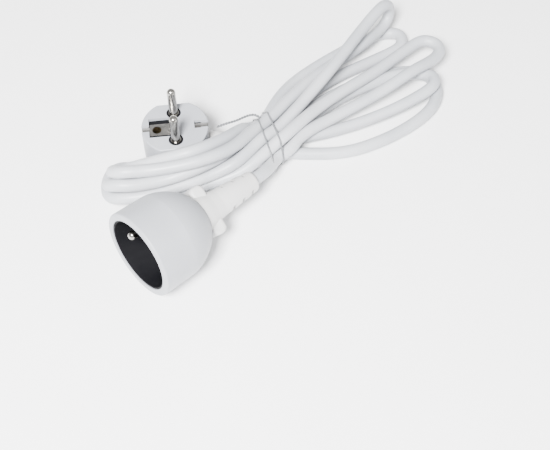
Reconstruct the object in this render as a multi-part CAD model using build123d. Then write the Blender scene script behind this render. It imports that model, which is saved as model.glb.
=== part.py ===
from build123d import *
import os
from math import cos, pi, radians, sin, tan

# Two-pole-and-earth household extension cord: a moulded type E socket, a folded hank of round flex
# held by a wire tie, and an angled CEE 7/7 plug lying on its back.
# Row frame: origin on the surface, under the middle of the socket. +X runs from the socket's mouth
# to its cable end, +Z is up. Millimetres.

# ---- pins and contacts, shared by the socket and the plug (French and Schuko standard sizes)
PIN_RADIUS = 2.4
PIN_FOOT_RADIUS = 2.9
PIN_FOOT_PROUD = 0.3
PIN_LENGTH = 19.0
PIN_HALF_PITCH = 9.5
EARTH_OFFSET = 10.0
CORE_RADIUS = 1.35

# ---- flex, its hank and the tie
CORD_DIAMETER = 7.0
CORD_RADIUS = CORD_DIAMETER / 2
HANK_HEIGHT = 33.4
WAIST = (66.0, 72.0)
WAIST_SIDES = (4.2, 33.0)
WAIST_TOP = 21.0
TIE_RADIUS = 0.45
SOCKET_LEAD = [(55.0, 3.2, 13.6), (64.0, 7.2, 10.6)]
PLUG_LEAD = [(69.0, 25.6, 6.4)]

# ---- socket, in its own frame: mouth plane at x = 0, axis along +X, earth pin towards +Z
RIM_RADIUS = 24.3
BELL_RADIUS = 23.9
BELL_START = 20.0
SHELL_END = 40.0
SHELL_END_RADIUS = 10.6
INSERT_RADIUS = 20.4
RECESS_RADIUS = 19.5
RECESS_DEPTH = 15.0
INSERT_BACK = 21.0
COVER_BACK = 23.0
CONTACT_HOLE_RADIUS = 2.7
CORE_START = 35.0
NECK_START = 39.4
NECK_COLLAR_RADIUS = 9.0
NECK_END = 78.0
NECK_END_RADIUS = 5.3
SHEATH_START = 48.0
LUG_REACH = 14.3
LUG_STATION = 44.6
SLOT_PITCH = 7.0
MOULD_GAP = 0.05
SOCKET_TILT = 5.5
SOCKET_ROLL = -57.0

# ---- shutter behind the socket's face
POCKET = (31.0, 16.5)
POCKET_LOW = -12.0
POCKET_FLOOR = 17.5
SHUTTER_SIZE = (2.4, 28.0, 7.0)
SHUTTER_TRAVEL = 6.5

# ---- plug, in its own frame: face at z = 0, pins along +Z, cable outlet towards +X
PLUG_RADIUS = 18.5
PLUG_HALF_WIDTH = 16.2
PLUG_DEPTH = 28.0
PLUG_CENTRE = (28.2, 51.1)
PLUG_TURN = -35.2
CARRIER_TOP = -2.0
CARRIER_DEPTH = 13.0
BOSS_RADIUS = 4.0
OUTLET_Z = -18.5
PLUG_NECK_END = 33.0
EARTH_STRIP_WIDTH = 4.0
SIDE_CONTACT_END = -11.4

os.makedirs("parts", exist_ok=True)
nodes = {}


def cylinder_x(radius, start, end, y=0.0, z=0.0):
    """A solid cylinder along X between two stations."""
    middle = (start + end) / 2
    return Pos(middle, y, z) * Rot(0, 90, 0) * Cylinder(radius, end - start)


def block(low, high):
    """A box between two corners."""
    size = [b - a for a, b in zip(low, high)]
    centre = [(a + b) / 2 for a, b in zip(low, high)]
    return Pos(*centre) * Box(*size)


def revolved(points):
    """A solid of revolution about X from (x, radius) points joined by straight lines."""
    outline = Polyline([(x, r, 0) for x, r in points], close=True)
    return revolve(make_face(outline), Axis.X)


def core(points, bends):
    """One insulated core along straight runs joined by arcs."""
    path = FilletPolyline(*points, radius=bends)
    section = Plane(origin=path @ 0, z_dir=path % 0) * Circle(CORE_RADIUS)
    return sweep(section, path)


# ---------------------------------------------------------------- socket pieces, in the socket's frame
def socket_shell():
    """White bell: flat round rim, nearly straight side, rounded shoulder down to the neck."""
    shoulder_middle = (31.0, 19.8)
    outer = Polyline((0, 0), (0, RIM_RADIUS), (BELL_START, BELL_RADIUS))
    shoulder = ThreePointArc((BELL_START, BELL_RADIUS), shoulder_middle, (SHELL_END, SHELL_END_RADIUS))
    rest = Polyline((SHELL_END, SHELL_END_RADIUS), (SHELL_END, 0), (0, 0))
    bell = revolve(make_face(outer + shoulder + rest), Axis.X)
    bell = fillet(bell.edges().group_by(Axis.X)[0], 0.9)
    seat = cylinder_x(INSERT_RADIUS + MOULD_GAP, -1, COVER_BACK + MOULD_GAP)
    cavity = revolved([
        (COVER_BACK - 1, 0), (COVER_BACK - 1, BELL_RADIUS - 5.5), (29.0, BELL_RADIUS - 5.5), (35.6, 13.6),
        (38.6, 9.8), (38.6, 0)])
    outlet = cylinder_x(NECK_COLLAR_RADIUS + MOULD_GAP, 37.0, SHELL_END + 1)
    return bell - seat - cavity - outlet


def relief_slots(first, count, half_reach, depth_radius, pitch):
    """Rings of opposite slots that let the relief bend: the cut stops short of the flex."""
    cuts = []
    for ring in range(count):
        x = first + ring * pitch
        for side in (1, -1):
            low = (x - 1.1, -half_reach, depth_radius if side > 0 else -12.0)
            high = (x + 1.1, half_reach, 12.0 if side > 0 else -depth_radius)
            cuts.append(block(low, high))
    return cuts


def socket_neck():
    """Neck with two finger lugs behind the bell and a slotted, tapering relief."""
    collar = NECK_COLLAR_RADIUS
    stations = [
        (NECK_START, collar), (SHELL_END + MOULD_GAP, collar), (SHELL_END + MOULD_GAP, 10.8),
        (44.0, 10.0), (48.0, 8.8), (53.0, 7.8), (62.0, 7.2), (70.0, 6.6), (NECK_END - 1, 5.8),
        (NECK_END, NECK_END_RADIUS)]
    neck = revolved([(NECK_START, 0)] + stations + [(NECK_END, 0)])
    for side in (1, -1):
        outline = RectangleRounded(8.8, 2 * (LUG_REACH - 8.0), 3.4)
        lug = extrude(Plane.XZ * Pos(LUG_STATION, side * 8.0) * outline, 5.6, both=True)
        neck += fillet(lug.edges().filter_by(Axis.Y, reverse=True), 2.2)
    for cut in relief_slots(59.0, 3, 4.6, CORD_RADIUS + 0.7, SLOT_PITCH):
        neck -= cut
    funnel = revolved([(NECK_START - 1, 0), (NECK_START - 1, 8.2), (NECK_START, 8.2),
                       (SHEATH_START - 1, CORD_RADIUS), (SHEATH_START - 1, 0)])
    return neck - funnel - cylinder_x(CORD_RADIUS + MOULD_GAP, SHEATH_START - 2, NECK_END + 1)


def socket_insert():
    """Black insert: recess wall, face with two contact holes, pocket for the shutter behind it."""
    body = cylinder_x(INSERT_RADIUS, 0.5, INSERT_BACK) - cylinder_x(RECESS_RADIUS, -1, RECESS_DEPTH)
    for y in (-PIN_HALF_PITCH, PIN_HALF_PITCH):
        body -= cylinder_x(CONTACT_HOLE_RADIUS, RECESS_DEPTH - 1, INSERT_BACK + 1, y=y)
    body -= cylinder_x(PIN_FOOT_RADIUS + 0.02, RECESS_DEPTH - 1, INSERT_BACK + 1, z=EARTH_OFFSET)
    width, height = POCKET
    pocket = block((POCKET_FLOOR, -width / 2, POCKET_LOW), (INSERT_BACK + 1, width / 2, POCKET_LOW + height))
    return body - pocket


def insert_cover():
    """Disc that closes the shutter's pocket and lets the pins through to the contacts."""
    disc = cylinder_x(INSERT_RADIUS - 0.1, INSERT_BACK + MOULD_GAP, COVER_BACK)
    for y in (-PIN_HALF_PITCH, PIN_HALF_PITCH):
        disc -= cylinder_x(CONTACT_HOLE_RADIUS, INSERT_BACK, COVER_BACK + 1, y=y)
    return disc - cylinder_x(PIN_FOOT_RADIUS + 0.02, INSERT_BACK, COVER_BACK + 1, z=EARTH_OFFSET)


def shutter():
    """Child-protection shutter: it covers both holes, and the plug's pins push it down on its ramps."""
    thick, width, height = SHUTTER_SIZE
    front = POCKET_FLOOR + 0.35
    plate = block((front, -width / 2, -height / 2), (front + thick, width / 2, height / 2))
    ramp = plate.edges().filter_by(Axis.Y).group_by(Axis.X)[0].sort_by(Axis.Z)[-1]
    return chamfer(ramp, 1.6)


def shutter_spring():
    """Flat zigzag spring between the shutter's lower edge and the pocket's floor."""
    top = -SHUTTER_SIZE[2] / 2 - 0.1
    bottom = POCKET_LOW + 0.1
    folds = 4
    strip = 0.35
    step = (top - bottom - strip) / folds
    leaf = block((18.4, -3.5, bottom), (19.8, 3.5, bottom + strip))
    for fold in range(folds):
        level = bottom + fold * step
        side = 3.5 if fold % 2 == 0 else -3.5
        inward = side - strip if side > 0 else side + strip
        leaf += block((18.4, min(side, inward), level), (19.8, max(side, inward), level + step + strip))
        leaf += block((18.4, -3.5, level + step), (19.8, 3.5, level + step + strip))
    return leaf


def socket_contact(y):
    """Spring sleeve contact with a slit, and a barrel that grips the core."""
    sleeve = cylinder_x(3.2, COVER_BACK + 0.2, 34.8, y=y) - cylinder_x(2.5, COVER_BACK - 1, 34.2, y=y)
    slit = block((COVER_BACK - 1, y - 0.4, 0), (33.0, y + 0.4, 4))
    barrel = cylinder_x(2.0, 34.7, 35.8, y=y) - cylinder_x(CORE_RADIUS, CORE_START, 38.0, y=y)
    return sleeve - slit + barrel


def socket_earth_pin():
    """Earth pin with a rounded tip just inside the mouth, a collar behind the cover and a barrel."""
    tip = 1.2
    pin = cylinder_x(PIN_RADIUS, tip + PIN_RADIUS, RECESS_DEPTH, z=EARTH_OFFSET)
    pin += cylinder_x(PIN_FOOT_RADIUS, RECESS_DEPTH - PIN_FOOT_PROUD, COVER_BACK + 0.2, z=EARTH_OFFSET)
    pin += Pos(tip + PIN_RADIUS, 0, EARTH_OFFSET) * Sphere(PIN_RADIUS)
    collar = cylinder_x(3.6, COVER_BACK + MOULD_GAP, COVER_BACK + 1.8, z=EARTH_OFFSET)
    barrel = cylinder_x(2.0, COVER_BACK + 1.7, 30.0, z=EARTH_OFFSET)
    return pin + collar + barrel - cylinder_x(CORE_RADIUS, 27.0, 31.0, z=EARTH_OFFSET)


def socket_cores():
    """Live, neutral and earth cores from their barrels down the funnel to the sheath's end."""
    end = SHEATH_START
    live = core([(CORE_START, PIN_HALF_PITCH, 0), (36.2, PIN_HALF_PITCH, 0), (42.8, 1.6, -0.9),
                 (end, 1.6, -0.9)], [1.6, 3.0])
    neutral = core([(CORE_START, -PIN_HALF_PITCH, 0), (36.2, -PIN_HALF_PITCH, 0), (42.8, -1.6, -0.9),
                    (end, -1.6, -0.9)], [1.6, 3.0])
    earth = core([(27.0, 0, EARTH_OFFSET), (33.0, 0, EARTH_OFFSET), (43.0, 0, 1.9), (end, 0, 1.9)],
                 [6.0, 5.0])
    return {"socket_live_core": live, "socket_neutral_core": neutral, "socket_earth_core": earth}


# ---------------------------------------------------------------- plug pieces, in the plug's frame
def plug_outline(radius, half_width):
    """Round face with two flats."""
    return Circle(radius) & Rectangle(2 * radius + 2, 2 * half_width)


def plug_body():
    """White overmoulding with a rounded back, hollow for the carrier, open over its contacts."""
    body = extrude(plug_outline(PLUG_RADIUS, PLUG_HALF_WIDTH), -PLUG_DEPTH)
    body = fillet(body.edges().group_by(Axis.Z)[0], 6.0)
    body = fillet(body.edges().group_by(Axis.Z)[-1], 0.8)
    inner = extrude(plug_outline(15.0 + MOULD_GAP, 13.2 + MOULD_GAP), -CARRIER_DEPTH - 8.0)
    body -= Pos(0, 0, CARRIER_TOP + MOULD_GAP) * inner
    for y in (-PIN_HALF_PITCH, PIN_HALF_PITCH):
        body -= Pos(0, y, 0) * Cylinder(BOSS_RADIUS + MOULD_GAP, 6)
    body -= block((-14.2, -6.6, -3), (-2.2, 6.6, 1))
    body -= block((10.7, -2.7, -3), (14.3, 2.7, 1))
    half = EARTH_STRIP_WIDTH / 2 + 0.3
    for side in (1, -1):
        low, high = sorted((side * 13.0, side * 20.0))
        body -= block((low, -half, CARRIER_TOP - 0.9), (high, half, 1))
        low, high = sorted((side * 16.95, side * 20.0))
        body -= block((low, -half, SIDE_CONTACT_END - 0.2), (high, half, 1))
    outlet = Pos(17.0, 0, OUTLET_Z) * Rot(0, 90, 0) * Cylinder(6.6, 8.0)
    return body - outlet


def pin_carrier():
    """Black block that holds the pins and the earth tube."""
    block_body = Pos(0, 0, CARRIER_TOP) * extrude(plug_outline(15.0, 13.2), -CARRIER_DEPTH)
    for y in (-PIN_HALF_PITCH, PIN_HALF_PITCH):
        block_body += Pos(0, y, CARRIER_TOP - 0.1) * extrude(Circle(BOSS_RADIUS), 1.9)
        block_body -= Pos(0, y, CARRIER_TOP) * Cylinder(PIN_FOOT_RADIUS + 0.02, 3 * CARRIER_DEPTH)
    block_body -= Pos(-EARTH_OFFSET, 0, CARRIER_TOP) * Cylinder(3.32, 3 * CARRIER_DEPTH)
    strip = block((-16.0, -EARTH_STRIP_WIDTH / 2 - 0.05, CARRIER_TOP - 0.85),
                  (16.0, EARTH_STRIP_WIDTH / 2 + 0.05, CARRIER_TOP + 1))
    plate = block((-14.0, -4.05, CARRIER_TOP - 0.85), (-2.0, 4.05, CARRIER_TOP + 1))
    return block_body - strip - plate


def plug_pin(y):
    """Solid round pin with a hemispherical tip and a barrel at the back for its core."""
    foot = CARRIER_TOP - CARRIER_DEPTH
    shaft = Pos(0, y, 0) * extrude(Circle(PIN_RADIUS), PIN_LENGTH - PIN_RADIUS)
    shaft += Pos(0, y, foot) * extrude(Circle(PIN_FOOT_RADIUS), PIN_FOOT_PROUD - foot)
    tip = Pos(0, y, PIN_LENGTH - PIN_RADIUS) * Sphere(PIN_RADIUS)
    socket_hole = Pos(0, y, foot) * Cylinder(CORE_RADIUS, 6.0)
    return shaft + tip - socket_hole


def earth_strip():
    """Bent strip: side contact, plate with the earth hole, side contact on the outlet side."""
    half = EARTH_STRIP_WIDTH / 2
    top = CARRIER_TOP
    strip = block((-17.6, -half, top - 0.8), (17.6, half, top))
    strip += block((-13.9, -4.0, top - 0.8), (-2.1, 4.0, top))
    for side in (1, -1):
        low, high = sorted((side * 17.0, side * 18.1))
        strip += block((low, -half, SIDE_CONTACT_END), (high, half, top))
    return strip - Pos(-EARTH_OFFSET, 0, top) * Cylinder(2.5, 4)


def earth_tube():
    """Sprung tube under the strip that takes a socket's earth pin."""
    length = CARRIER_DEPTH - 1.0
    middle = CARRIER_TOP - 0.85 - length / 2
    tube = Pos(-EARTH_OFFSET, 0, middle) * Cylinder(3.3, length)
    tube -= Pos(-EARTH_OFFSET, 0, middle + 1) * Cylinder(2.5, length)
    tube -= Pos(-EARTH_OFFSET, 0, middle - length / 2 + 1) * extrude(Circle(2.9), 1.25)
    return tube - Pos(-EARTH_OFFSET, 0, middle - length / 2) * Cylinder(CORE_RADIUS, 4)


def plug_neck():
    """Outlet of the plug: a collar in the body, then a slotted, tapering relief."""
    stations = [
        (15.2, 6.5), (19.0, 6.5), (19.0, 7.4), (24.0, 6.8), (PLUG_NECK_END - 1, 5.4), (PLUG_NECK_END, 4.9)]
    outline = [(stations[0][0], 0)] + stations + [(PLUG_NECK_END, 0)]
    neck = revolved(outline) - cylinder_x(CORD_RADIUS + MOULD_GAP, 12.0, PLUG_NECK_END + 1)
    for cut in relief_slots(22.6, 2, 4.2, CORD_RADIUS + 0.7, 3.6):
        neck -= Rot(90, 0, 0) * cut
    return Pos(0, 0, OUTLET_Z) * neck


def plug_cores():
    """Live, neutral and earth cores from the pins' feet to the sheath's end in the outlet."""
    foot = CARRIER_TOP - CARRIER_DEPTH
    upper, lower = OUTLET_Z + 0.9, OUTLET_Z - 1.9
    end = 15.1
    live = core([(0, PIN_HALF_PITCH, foot + 2), (0, PIN_HALF_PITCH, upper), (7.0, 1.7, upper),
                 (end, 1.7, upper)], [2.2, 3.0])
    neutral = core([(0, -PIN_HALF_PITCH, foot + 2), (0, -PIN_HALF_PITCH, upper), (7.0, -1.7, upper),
                    (end, -1.7, upper)], [2.2, 3.0])
    earth = core([(-EARTH_OFFSET, 0, foot + 1.5), (-EARTH_OFFSET, 0, lower), (end, 0, lower)], [2.5])
    return {"plug_live_core": live, "plug_neutral_core": neutral, "plug_earth_core": earth}


# ---------------------------------------------------------------- flex, in the row frame
def flex_tube(points):
    """A stretch of flex: straight runs joined by arcs as large as their runs allow."""
    corners = [Vector(*p) for p in points]
    radii = []
    for before, corner, after in zip(corners, corners[1:], corners[2:]):
        turn = radians((corner - before).get_angle(after - corner))
        run = min((corner - before).length, (after - corner).length)
        radii.append(0.45 * run / tan(turn / 2))
    path = FilletPolyline(*corners, radius=radii)
    tube = sweep(Plane(origin=path @ 0, z_dir=path % 0) * Circle(CORD_RADIUS), path)
    expected = pi * CORD_RADIUS**2 * path.length
    print("flex radii", [round(r, 1) for r in radii], "length", round(path.length, 1),
          "volume against section x length", round(tube.volume / expected, 4))
    return tube


def slab(outline, height):
    """A plan outline raised to a height."""
    return extrude(make_face(Polyline([(x, y, 0) for x, y in outline], close=True)), height)


def under(profile):
    """Everything under a side profile given as (x, z) points."""
    face = make_face(Polyline([(x, 0, z) for x, z in profile], close=True))
    return extrude(face, 120, both=True)


def cord_hank(leads):
    """Outer shape of the folded flex: bends at the plug end, bundle, tied waist, fan of long loops."""
    bends = slab([(-24, 37), (-8, 28.0), (0, 25.4), (9, 21), (9, 50), (7.5, 60), (2, 68.5), (-14, 69),
                  (-24, 65)], HANK_HEIGHT)
    low, high = WAIST
    bundle = slab([(8, 21.5), (16, 18.2), (24, 15.2), (32, 12.2), (40, 8.5), (50, 6.0), (58, 4.5),
                   (low + 0.3, 4.5), (low + 0.3, 33.0), (60.5, 31.0), (52, 24.5), (40, 31.5),
                   (26.2, 31.9), (10.9, 42.3), (8, 44)], HANK_HEIGHT)
    bundle &= under([(0, 0), (low + 1, 0), (low + 1, WAIST_TOP), (low - 4, WAIST_TOP), (48, HANK_HEIGHT - 1),
                     (16, HANK_HEIGHT), (0, HANK_HEIGHT)])
    width = WAIST_SIDES[1] - WAIST_SIDES[0]
    middle_y = sum(WAIST_SIDES) / 2
    section = Plane((low, middle_y, (1.2 + WAIST_TOP) / 2), x_dir=(0, 1, 0), z_dir=(1, 0, 0))
    waist = extrude(section * RectangleRounded(width, WAIST_TOP - 1.2, 3.0), high - low)
    whole = [(high, 1), (84, -10), (104, -21), (120, -26), (140, -28.3), (156, -28.3), (174, -23), (186, -12),
             (197, -3), (197, 47.5), (184, 47.5), (150, 49.5), (120, 49.5), (100, 47.5), (84, 42.5),
             (high, 36.5)]
    middle = [(high, 3), (130, -6), (148, -27.5), (164, -26.5), (180, -16), (196, -5), (196, 40), (120, 45),
              (high, 35)]
    crest = [(high, 6), (120, 19), (160, 28), (196.5, 34), (196.5, 47), (150, 44), (100, 36), (high, 30)]
    loops = slab(whole, 8.0) + slab(middle, 19.0) + slab(crest, HANK_HEIGHT)
    loops &= under([(high - 1, 0), (200, 0), (200, 23.5), (190, 28.3), (150, 28.3), (112, 24.0), (84, 21.0),
                    (high - 1, WAIST_TOP)])
    hank = bends + bundle + waist + loops
    for lead in leads:
        hank -= lead
    return hank


def wire_tie():
    """Coated wire: two turns round the waist, ends twisted into a tail on top."""
    low, high = WAIST
    width = WAIST_SIDES[1] - WAIST_SIDES[0] + 2 * TIE_RADIUS + 0.2
    height = WAIST_TOP - 1.2 + 2 * TIE_RADIUS + 0.2
    middle_y = (WAIST_SIDES[0] + WAIST_SIDES[1]) / 2
    middle_z = (1.2 + WAIST_TOP) / 2
    turns = []
    for x in (low + 1.2, high - 1.2):
        outline = Plane((x, middle_y, middle_z), x_dir=(0, 1, 0), z_dir=(1, 0, 0)) * RectangleRounded(
            width, height, 2.5)
        path = outline.wire()
        turns.append(sweep(Plane(origin=path @ 0, z_dir=path % 0) * Circle(TIE_RADIUS), path))
    knot_z = WAIST_TOP + 2 * TIE_RADIUS
    knot = Pos((low + high) / 2, WAIST_SIDES[1] - 4.5, knot_z) * Rot(0, 90, 0) * Cylinder(
        2 * TIE_RADIUS, high - low)
    tail_path = Polyline((low + 0.5, WAIST_SIDES[1] - 4.5, knot_z), (57.5, 33.8, 24.0), (46.9, 37.6, 24.0))
    tail = sweep(Plane(origin=tail_path @ 0, z_dir=tail_path % 0) * Circle(TIE_RADIUS), tail_path,
                 transition=Transition.ROUND)
    return turns[0] + turns[1] + knot + tail


# ---------------------------------------------------------------- placing
def socket_place(shell):
    """The socket leans back until the rear of its bell rests on the surface."""
    tilt = radians(SOCKET_TILT)
    back = NECK_END * cos(tilt) + NECK_END_RADIUS * sin(tilt)
    front = RIM_RADIUS * sin(tilt)
    height = -(Rot(0, SOCKET_TILT, 0) * shell).bounding_box().min.Z
    return Pos(-(back - front) / 2, 0, height) * Rot(0, SOCKET_TILT, 0)


socket_nodes = {
    "socket_shell": socket_shell(),
    "socket_neck": socket_neck(),
    "socket_insert": socket_insert(),
    "insert_cover": insert_cover(),
    "shutter": shutter(),
    "shutter_spring": shutter_spring(),
    "socket_live_contact": socket_contact(PIN_HALF_PITCH),
    "socket_neutral_contact": socket_contact(-PIN_HALF_PITCH),
    "socket_earth_pin": socket_earth_pin(),
    **socket_cores(),
}
plug_nodes = {
    "plug_body": plug_body(),
    "plug_neck": plug_neck(),
    "pin_carrier": pin_carrier(),
    "plug_live_pin": plug_pin(PIN_HALF_PITCH),
    "plug_neutral_pin": plug_pin(-PIN_HALF_PITCH),
    "earth_strip": earth_strip(),
    "earth_tube": earth_tube(),
    **plug_cores(),
}
SOCKET = socket_place(socket_nodes["socket_shell"]) * Rot(SOCKET_ROLL, 0, 0)
PLUG = Pos(*PLUG_CENTRE, PLUG_DEPTH) * Rot(0, 0, PLUG_TURN)
socket_exit = [(SOCKET * Pos(NECK_END + step, 0, 0)).position for step in (-6.0, 5.5)]
plug_exit = [(PLUG * Pos(PLUG_NECK_END + step, 0, OUTLET_Z)).position for step in (-6.0, 5.0)]
leads = [flex_tube(socket_exit + SOCKET_LEAD), flex_tube(plug_exit + PLUG_LEAD)]
cord_nodes = {
    "socket_lead": leads[0],
    "plug_lead": leads[1],
    "cord_hank": cord_hank(leads),
    "wire_tie": wire_tie(),
}
nodes.update({name: SOCKET * piece for name, piece in socket_nodes.items()})
nodes.update({name: PLUG * piece for name, piece in plug_nodes.items()})
nodes.update(cord_nodes)

for name, piece in nodes.items():
    export_step(piece, f"parts/{name}.step")
    print(name, round(piece.volume, 1), [round(v, 1) for v in piece.bounding_box().size])
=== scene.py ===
import math

import bmesh
import bpy
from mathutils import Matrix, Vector


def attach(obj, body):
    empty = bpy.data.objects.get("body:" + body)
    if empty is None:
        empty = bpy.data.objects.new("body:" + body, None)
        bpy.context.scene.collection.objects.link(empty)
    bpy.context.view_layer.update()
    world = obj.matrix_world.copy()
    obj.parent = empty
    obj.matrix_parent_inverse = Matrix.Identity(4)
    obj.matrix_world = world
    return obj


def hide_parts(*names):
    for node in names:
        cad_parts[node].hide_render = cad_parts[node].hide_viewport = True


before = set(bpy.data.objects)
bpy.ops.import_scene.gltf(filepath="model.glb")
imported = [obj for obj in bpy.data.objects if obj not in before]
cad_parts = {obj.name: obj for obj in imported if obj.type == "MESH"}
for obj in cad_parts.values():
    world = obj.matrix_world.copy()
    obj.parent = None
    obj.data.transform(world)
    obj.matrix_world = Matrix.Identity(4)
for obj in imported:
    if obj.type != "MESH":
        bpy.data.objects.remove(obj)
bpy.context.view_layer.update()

MM = 0.001
CORD_DIAMETER = 7.0 * MM
TIE_WIRE = 0.9 * MM

# ---- the flex's route in millimetres, given point by point: from the socket, five long loops away from it and
# four folds back beside its bell, then into the plug
SOCKET_LEAD = [(33.76, 0, 18.81), (45.21, 0, 17.7), (55, 3.2, 13.6), (64, 7.2, 10.6)]
LOOP_HIGH_FRONT = [
    (73, 5.5, 12), (84.5, 9, 13), (115.5, 5, 11), (142, -0.5, 14), (161, -3.5, 18.5), (178.5, -4, 15),
    (187, -2.5, 14.5), (190.5, 2, 14.5), (190, 7.5, 14.5), (185.5, 12.5, 14.5), (173, 13.5, 13),
    (147.5, 13, 14), (121.5, 15.5, 14), (96.5, 14, 17.5), (73, 10.5, 19.5)]
FOLD_FRONT = [
    (64, 11, 17), (51.5, 10.5, 15), (42, 12.5, 11.5), (30, 19, 7.5), (18.5, 24.5, 6), (4.5, 34, 6.5),
    (-9, 43, 3.5), (-9.5, 51, 3.5), (-5.5, 56, 6.5), (1, 54, 10.5), (6.5, 44, 10.5), (21.5, 27.5, 13.5),
    (41, 31, 7.5), (64.5, 15.5, 12)]
LOOP_FRONT = [
    (74, 14.5, 10.5), (85.5, 11.5, 5.5), (107.5, 1, 4.5), (134, -9.5, 7), (154, -15, 10), (166, -16.5, 11.5),
    (171.5, -13.5, 11.5), (173, -9, 10.5), (171, -3.5, 8.5), (162, 5.5, 8.5), (147.5, 11.5, 7),
    (124, 17, 7), (97, 18.5, 6), (74.5, 19.5, 4.5)]
FOLD_OUTER = [
    (61.5, 17.3, 3.9), (39.5, 22.5, 3.5), (18.5, 32.5, 5.5), (5, 42, 3.5), (2, 59, 3.5), (-2, 63.5, 5),
    (-8.5, 64.5, 5.5), (-15.5, 60, 5.5), (-21, 51, 7), (-17, 43, 10.5), (-5, 34, 11.5), (14, 25.5, 13.5),
    (29, 20, 14), (42, 14.5, 19), (61, 18, 19)]
LOOP_TOP = [
    (74, 18.5, 16.5), (86.5, 20.5, 17), (106.5, 24, 19), (135, 30, 22), (159, 36.5, 23.5), (179, 40.5, 26),
    (185.5, 41, 23.5), (188, 41, 18), (186, 39.5, 12.5), (179, 38, 9.5), (162, 34.5, 13), (144.5, 35, 12),
    (122.5, 35.5, 13), (99, 31, 16.5), (73.5, 26, 17.5)]
FOLD_TOP = [
    (60, 23.5, 22.5), (44, 19, 26.5), (27.5, 20, 30), (14, 26.5, 29), (0, 37.5, 26), (-12, 45, 28),
    (-15, 50.5, 24.5), (-13.5, 54.5, 20.5), (-9.5, 55.5, 17), (-3.5, 53, 15.5), (4, 45.5, 21), (15, 35, 28),
    (25, 28.5, 30.5), (43.5, 27.5, 25.5), (59, 31, 18.5), (64.5, 31.5, 13.5)]
LOOP_BACK = [
    (74, 30, 10.5), (98, 42, 7), (118.5, 46.5, 4), (146, 44.5, 4.5), (176, 41, 3.5), (185, 36, 3.5),
    (187.5, 30, 5), (184.5, 24.5, 5), (178, 22, 4.5), (156, 27.5, 3.5), (136, 31.5, 4), (113, 30.5, 8),
    (92.5, 26, 11), (74, 22, 11.4)]
FOLD_MIDDLE = [
    (62, 24, 14.5), (46.5, 23, 19), (29, 22, 23), (14.5, 26, 22), (2, 32.5, 19.5), (-11.5, 38.5, 22),
    (-18.5, 45, 22), (-20, 50, 18.5), (-17.5, 53, 13.5), (-12, 52.5, 10.5), (-4, 46.5, 11.5), (8, 36.5, 19),
    (24.5, 29.5, 20.5), (38.5, 25, 14), (62, 9.6, 4.6)]
LOOP_LOW_FRONT = [
    (73, 10, 5), (79, 4.5, 3.5), (98, -13, 4), (120, -21, 4), (141, -24.5, 4), (158, -24, 4), (170, -18.5, 4),
    (177, -9, 3.5), (174.5, 2, 3.5), (165.5, 10, 3.5), (145.5, 19, 3.5), (121.5, 23.5, 3.5), (98.5, 25, 3.5),
    (78, 26.5, 4.5)]
PLUG_LEAD = [(69, 25.6, 6.4), (59.25, 29.2, 9.5), (50.3, 35.5, 9.5)]
ROUTE = (SOCKET_LEAD + LOOP_HIGH_FRONT + FOLD_FRONT + LOOP_FRONT + FOLD_OUTER + LOOP_TOP + FOLD_TOP
         + LOOP_BACK + FOLD_MIDDLE + LOOP_LOW_FRONT + PLUG_LEAD)

# ---- the tie: where its two turns cross the top of the bundle, and its loose end
TIE_TURNS = [(63.8, 0.42), (71.6, 0.42)]
TIE_TAIL = [(70.6, 28.0, 21.0), (69.3, 30.3, 23.0), (66.1, 31.8, 24.0), (62.7, 32.9, 24.0),
            (57.5, 33.8, 24.0), (51.1, 36.6, 24.0), (46.9, 37.6, 24.0)]


# ---------------------------------------------------------------- materials
def new_material(name):
    """An empty principled material with its tree and shader."""
    material = bpy.data.materials.new(name)
    material.use_nodes = True
    tree = material.node_tree
    return material, tree, tree.nodes["Principled BSDF"]


def noise(tree, scale, detail=4.0, stretch=(1, 1, 1)):
    """Noise over the piece's own coordinates, in metres."""
    coords = tree.nodes.new("ShaderNodeTexCoord")
    mapping = tree.nodes.new("ShaderNodeMapping")
    mapping.inputs["Scale"].default_value = stretch
    texture = tree.nodes.new("ShaderNodeTexNoise")
    texture.inputs["Scale"].default_value = scale
    texture.inputs["Detail"].default_value = detail
    tree.links.new(coords.outputs["Object"], mapping.inputs["Vector"])
    tree.links.new(mapping.outputs["Vector"], texture.inputs["Vector"])
    return texture.outputs["Fac"]


def spread(tree, factor, low, high, start=0.3, end=0.7):
    """A factor between two stops turned into a value or colour between low and high."""
    ramp = tree.nodes.new("ShaderNodeValToRGB")
    ramp.color_ramp.elements[0].position = start
    ramp.color_ramp.elements[1].position = end
    for element, value in zip(ramp.color_ramp.elements, (low, high)):
        element.color = (*value, 1) if isinstance(value, tuple) else (value, value, value, 1)
    tree.links.new(factor, ramp.inputs["Fac"])
    return ramp.outputs["Color"]


def bump(tree, shader, layers):
    """Bumps in turn, each (factor, depth in metres, strength)."""
    previous = None
    for factor, depth, strength in layers:
        node = tree.nodes.new("ShaderNodeBump")
        node.inputs["Distance"].default_value = depth
        node.inputs["Strength"].default_value = strength
        tree.links.new(factor, node.inputs["Height"])
        if previous:
            tree.links.new(previous, node.inputs["Normal"])
        previous = node.outputs["Normal"]
    tree.links.new(previous, shader.inputs["Normal"])


def moulded(name, pale, dark, rough, grain=1400, depth=0.00006, strength=0.35):
    """Moulded plastic: cloudy tint, uneven gloss and a fine spark-eroded grain."""
    material, tree, shader = new_material(name)
    tree.links.new(spread(tree, noise(tree, 45), dark, pale), shader.inputs["Base Color"])
    tree.links.new(spread(tree, noise(tree, 160, 6), rough - 0.06, rough + 0.08), shader.inputs["Roughness"])
    bump(tree, shader, [(noise(tree, grain, 3), depth, strength), (noise(tree, 60, 2), 0.0004, 0.12)])
    shader.inputs["Specular IOR Level"].default_value = 0.45
    return material


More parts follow.
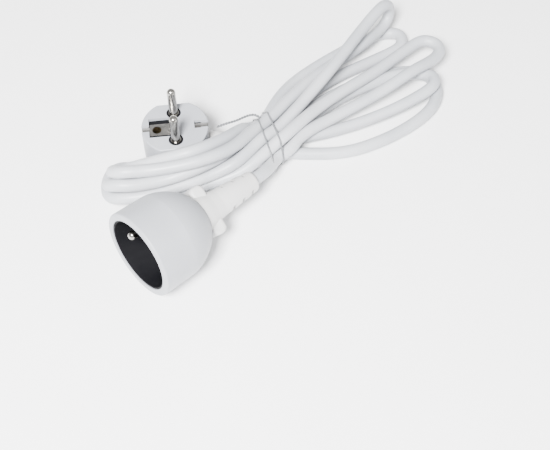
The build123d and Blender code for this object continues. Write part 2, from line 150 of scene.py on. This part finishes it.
def plated(name, pale, dark, rough):
    """Metal: polished, with faint draw marks and small spots of tarnish."""
    material, tree, shader = new_material(name)
    tree.links.new(spread(tree, noise(tree, 260, 5), dark, pale, 0.25, 0.6), shader.inputs["Base Color"])
    tree.links.new(spread(tree, noise(tree, 700, 4), rough - 0.05, rough + 0.1), shader.inputs["Roughness"])
    bump(tree, shader, [(noise(tree, 2600, 2, (1, 1, 0.06)), 0.00002, 0.25)])
    shader.inputs["Metallic"].default_value = 1.0
    return material


def core_insulation(name, pale, dark):
    """Soft shiny insulation of one core."""
    return moulded(name, pale, dark, 0.35, 900, 0.00003, 0.2)


def sheath_material():
    """White PVC sheath: satin, with slight waves where the twisted cores press through."""
    material, tree, shader = new_material("pvc_sheath")
    tree.links.new(spread(tree, noise(tree, 30), (0.36, 0.375, 0.40), (0.46, 0.47, 0.49)),
                   shader.inputs["Base Color"])
    tree.links.new(spread(tree, noise(tree, 120, 5), 0.34, 0.47), shader.inputs["Roughness"])
    bump(tree, shader, [(noise(tree, 110, 1), 0.0005, 0.22), (noise(tree, 1500, 3), 0.00005, 0.25)])
    shader.inputs["Subsurface Weight"].default_value = 0.08
    shader.inputs["Subsurface Radius"].default_value = (0.004, 0.0035, 0.003)
    shader.inputs["Specular IOR Level"].default_value = 0.4
    return material


def floor_material():
    """Pale studio paper with a barely visible tooth."""
    material, tree, shader = new_material("studio_paper")
    tree.links.new(spread(tree, noise(tree, 6), (0.90, 0.90, 0.905), (0.94, 0.94, 0.94)),
                   shader.inputs["Base Color"])
    tree.links.new(spread(tree, noise(tree, 50), 0.75, 0.9), shader.inputs["Roughness"])
    bump(tree, shader, [(noise(tree, 900, 3), 0.00003, 0.2)])
    return material


def dress_cad():
    """Gives every shown CAD node its material."""
    shell = moulded("white_pvc_shell", (0.33, 0.34, 0.365), (0.295, 0.305, 0.33), 0.42)
    soft = moulded("white_pvc_relief", (0.56, 0.555, 0.55), (0.50, 0.495, 0.49), 0.48)
    black = moulded("black_thermoset", (0.008, 0.008, 0.009), (0.004, 0.004, 0.005), 0.5, 700, 0.00002, 0.1)
    black.node_tree.nodes["Principled BSDF"].inputs["Specular IOR Level"].default_value = 0.06
    nickel = plated("nickel_plate", (0.34, 0.33, 0.31), (0.19, 0.18, 0.17), 0.18)
    strip = plated("nickel_strip", (0.36, 0.35, 0.335), (0.22, 0.21, 0.20), 0.3)
    brass = plated("brass", (0.30, 0.23, 0.13), (0.16, 0.12, 0.07), 0.4)
    steel = plated("spring_steel", (0.55, 0.55, 0.57), (0.36, 0.36, 0.38), 0.3)
    live = core_insulation("live_insulation", (0.20, 0.085, 0.035), (0.13, 0.05, 0.02))
    neutral = core_insulation("neutral_insulation", (0.03, 0.13, 0.48), (0.02, 0.08, 0.33))
    earth = core_insulation("earth_insulation", (0.42, 0.55, 0.05), (0.10, 0.33, 0.05))
    dress = {
        shell: ["socket_shell", "plug_body"],
        soft: ["socket_neck", "plug_neck"],
        black: ["socket_insert", "insert_cover", "pin_carrier", "shutter"],
        nickel: ["plug_live_pin", "plug_neutral_pin", "socket_earth_pin"],
        strip: ["earth_strip"],
        brass: ["socket_live_contact", "socket_neutral_contact", "earth_tube"],
        steel: ["shutter_spring"],
        live: ["socket_live_core", "plug_live_core"],
        neutral: ["socket_neutral_core", "plug_neutral_core"],
        earth: ["socket_earth_core", "plug_earth_core"],
    }
    for material, names in dress.items():
        for name in names:
            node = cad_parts[name]
            node.data.materials.clear()
            node.data.materials.append(material)


# ---------------------------------------------------------------- flex and tie
def add_curve(name, routes, radius, material, cyclic=False):
    """A round tube along one or more smooth lines, points in metres."""
    data = bpy.data.curves.new(name, "CURVE")
    data.dimensions = "3D"
    for route in routes:
        spline = data.splines.new("NURBS")
        spline.points.add(len(route) - 1)
        for point, place in zip(spline.points, route):
            point.co = (*place, 1)
        spline.order_u = 3
        spline.use_cyclic_u = cyclic
        spline.use_endpoint_u = not cyclic
        spline.resolution_u = 10
    data.bevel_depth = radius
    data.bevel_resolution = 7
    data.use_fill_caps = True
    data.materials.append(material)
    piece = bpy.data.objects.new(name, data)
    bpy.context.collection.objects.link(piece)
    return piece


def make_flex():
    """The whole flex on one spline, from inside the socket's relief to inside the plug's."""
    route = [tuple(v * MM for v in point) for point in ROUTE]
    flex = add_curve("flex", [route], CORD_DIAMETER / 2, sheath_material())
    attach(flex, "root")
    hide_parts("socket_lead", "plug_lead", "cord_hank")
    return flex


def centreline(curve):
    """Points read from a curve's own spline."""
    bare = curve.data.copy()
    bare.bevel_depth = 0
    carrier = bpy.data.objects.new("centreline", bare)
    mesh = bpy.data.meshes.new_from_object(carrier)
    points = [vertex.co.copy() for vertex in mesh.vertices]
    bpy.data.objects.remove(carrier)
    bpy.data.meshes.remove(mesh)
    return points


def crossings(points, x, skew):
    """Where the flex passes through a nearly upright plane across the bundle: (y, z) of each strand."""
    found = []
    for a, b in zip(points, points[1:]):
        before = a.x - x - skew * (a.y - 0.018)
        after = b.x - x - skew * (b.y - 0.018)
        if before * after < 0:
            place = a.lerp(b, before / (before - after))
            found.append((place.y, place.z))
    return found


def tie_turn(strands, x, skew, steps=40):
    """One turn of wire pulled tight round the strands: it touches the outermost strand each way."""
    reach = (CORD_DIAMETER + TIE_WIRE) / 2
    turn = []
    for step in range(steps):
        angle = 2 * math.pi * step / steps
        way = (math.cos(angle), math.sin(angle))
        y, z = max(strands, key=lambda s: s[0] * way[0] + s[1] * way[1])
        y, z = y + reach * way[0], z + reach * way[1]
        place = Vector((x + skew * (y - 0.018), y, max(z, TIE_WIRE / 2)))
        if not turn or (place - turn[-1]).length > 0.0006:
            turn.append(place)
    return turn


def twisted_pair(route, pitch, radius, steps):
    """Two lines winding round each other along a smooth carrier line."""
    places = [Vector(v * MM for v in point) for point in route]
    guide = add_curve("tail_guide", [places], 0, floor_material())
    line = centreline(guide)
    bpy.data.objects.remove(guide)
    lengths = [0.0]
    for a, b in zip(line, line[1:]):
        lengths.append(lengths[-1] + (b - a).length)
    pair = ([], [])
    for step in range(steps):
        reach = lengths[-1] * step / (steps - 1)
        index = max(i for i, length in enumerate(lengths[:-1]) if length <= reach)
        share = (reach - lengths[index]) / (lengths[index + 1] - lengths[index])
        place = line[index].lerp(line[index + 1], share)
        along = (line[index + 1] - line[index]).normalized()
        side = along.cross(Vector((0, 0, 1))).normalized()
        rise = side.cross(along)
        angle = 2 * math.pi * reach / pitch
        offset = radius * (math.cos(angle) * side + math.sin(angle) * rise)
        pair[0].append(place + offset)
        pair[1].append(place - offset)
    return pair


def make_tie(flex):
    """Coated wire: two turns round the waist, ends twisted together into one loose tail."""
    # the tie wire itself is light grey; this dark grey is painted shadow, standing in for the dark line of
    # shade the wire casts round the bundle
    tie_painted_shadow_grey = moulded("tie_coating", (0.17, 0.175, 0.185), (0.09, 0.095, 0.10), 0.3, 2200, 0.00002, 0.2)
    line = centreline(flex)
    turns = [tie_turn(crossings(line, x * MM, skew), x * MM, skew) for x, skew in TIE_TURNS]
    rings = add_curve("tie_turns", turns, TIE_WIRE / 2, tie_painted_shadow_grey, cyclic=True)
    pair = twisted_pair(TIE_TAIL, 0.0032, TIE_WIRE * 0.45, 60)
    tail = add_curve("tie_tail", pair, TIE_WIRE * 0.42, tie_painted_shadow_grey)
    for piece in (rings, tail):
        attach(piece, "root")
    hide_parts("wire_tie")


# ---------------------------------------------------------------- studio
def add_area(name, place, target, size, power, tint=(1, 1, 1)):
    """A soft square light aimed at a point."""
    data = bpy.data.lights.new(name, "AREA")
    data.size = size
    data.energy = power
    data.color = tint
    light = bpy.data.objects.new(name, data)
    light.location = place
    light.rotation_euler = (Vector(target) - Vector(place)).to_track_quat("-Z", "Y").to_euler()
    bpy.context.collection.objects.link(light)


def make_studio():
    """Pale floor, white surroundings, a soft key from the front left and a weak fill."""
    mesh = bpy.data.meshes.new("floor")
    sheet = bmesh.new()
    bmesh.ops.create_grid(sheet, x_segments=4, y_segments=4, size=3.0)
    sheet.to_mesh(mesh)
    sheet.free()
    mesh.materials.append(floor_material())
    floor = bpy.data.objects.new("floor", mesh)
    floor.location.z = -0.0004
    bpy.context.collection.objects.link(floor)
    world = bpy.data.worlds.new("studio")
    world.use_nodes = True
    world.node_tree.nodes["Background"].inputs["Color"].default_value = (1, 1, 1, 1)
    world.node_tree.nodes["Background"].inputs["Strength"].default_value = 0.85
    bpy.context.scene.world = world
    middle = (0.06, 0.02, 0.01)
    add_area("key", (-0.50, -0.30, 0.85), middle, 0.28, 64.0)
    add_area("fill", (0.45, -0.75, 0.6), middle, 0.7, 4.0)


def make_camera():
    """Above the socket's side, looking down at 56 degrees."""
    data = bpy.data.cameras.new("camera")
    data.sensor_width = 36.0
    data.lens = 65.45
    camera = bpy.data.objects.new("camera", data)
    camera.location = (-0.166, -0.244, 0.4551)
    target = Vector((0.0375, -0.0204, 0.0))
    camera.rotation_euler = (target - camera.location).to_track_quat("-Z", "Y").to_euler()
    bpy.context.collection.objects.link(camera)
    bpy.context.scene.camera = camera


make_camera()
flex = make_flex()
make_tie(flex)
dress_cad()
make_studio()
